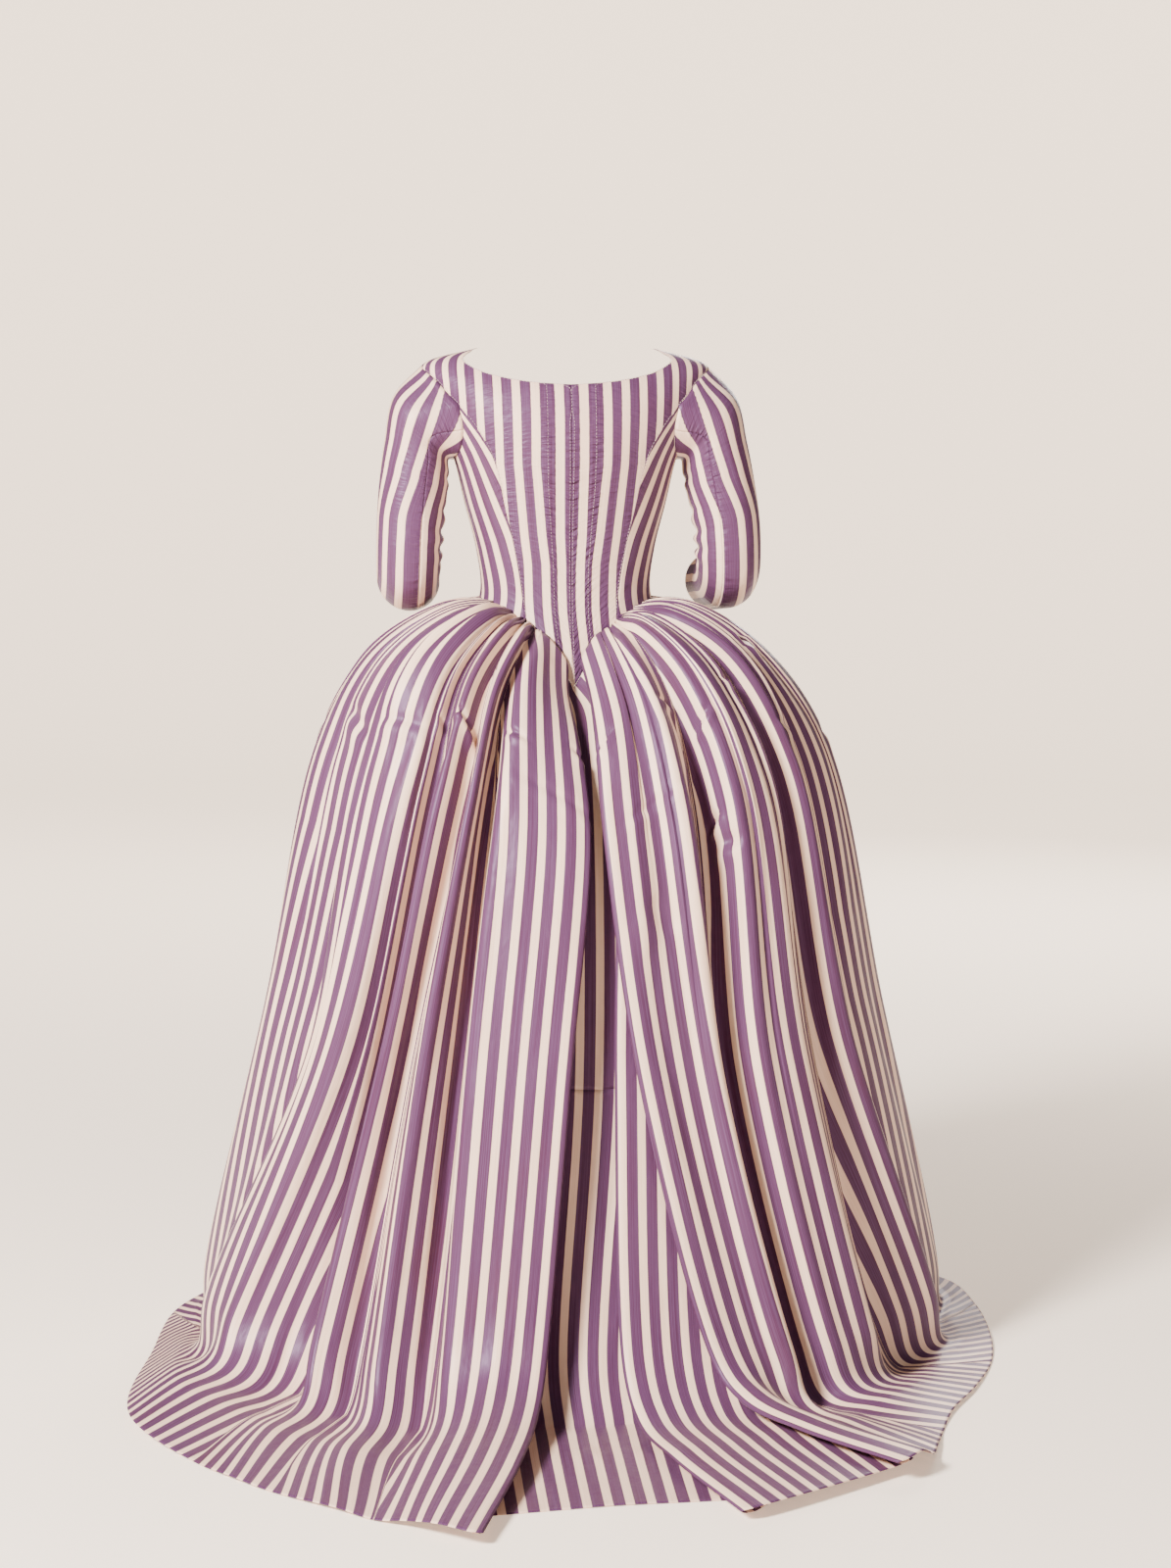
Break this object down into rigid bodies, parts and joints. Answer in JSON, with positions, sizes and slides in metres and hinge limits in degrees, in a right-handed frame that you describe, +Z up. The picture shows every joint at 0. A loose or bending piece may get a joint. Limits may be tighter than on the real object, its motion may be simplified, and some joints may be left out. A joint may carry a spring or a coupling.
{
  "type": "english gown (robe a l'anglaise)",
  "caption": "Striped silk open gown with a back-shaped fitted bodice, bent elbow sleeves and a pleated, trained skirt.",
  "frame": {"origin": "on the body's axis at the height where the shoulders carry the gown, 1.29 m above the floor", "axes": "+Z up, the wearer faces -Y, the train lies towards +Y, and the wearer's left is +X"},
  "size_m": [1.1435, 1.2117, 1.3115],
  "materials": {
    "skirt_silk": "crisp plain silk with lengthwise mauve and cream stripes and a soft sheen",
    "bodice_silk": "crisp plain silk with lengthwise mauve and cream stripes, puckered along the stitching",
    "sleeve_silk": "crisp plain silk with lengthwise mauve and cream stripes and a soft sheen"
  },
  "bodies": {
    "root": {"skirt_front_left": "skirt_silk", "skirt_side_left": "skirt_silk", "skirt_back_left": "skirt_silk", "skirt_centre_upper": "skirt_silk", "skirt_centre_lower": "skirt_silk", "skirt_back_right": "skirt_silk", "skirt_side_right": "skirt_silk", "skirt_front_right": "skirt_silk", "bodice_back_left": "bodice_silk", "bodice_side_back_left": "bodice_silk", "bodice_front_left": "bodice_silk", "bodice_back_right": "bodice_silk", "bodice_side_back_right": "bodice_silk", "bodice_front_right": "bodice_silk", "sleeve_under_left": "sleeve_silk", "sleeve_outer_left": "sleeve_silk", "sleeve_under_right": "sleeve_silk", "sleeve_outer_right": "sleeve_silk"}
  },
  "joints": []
}
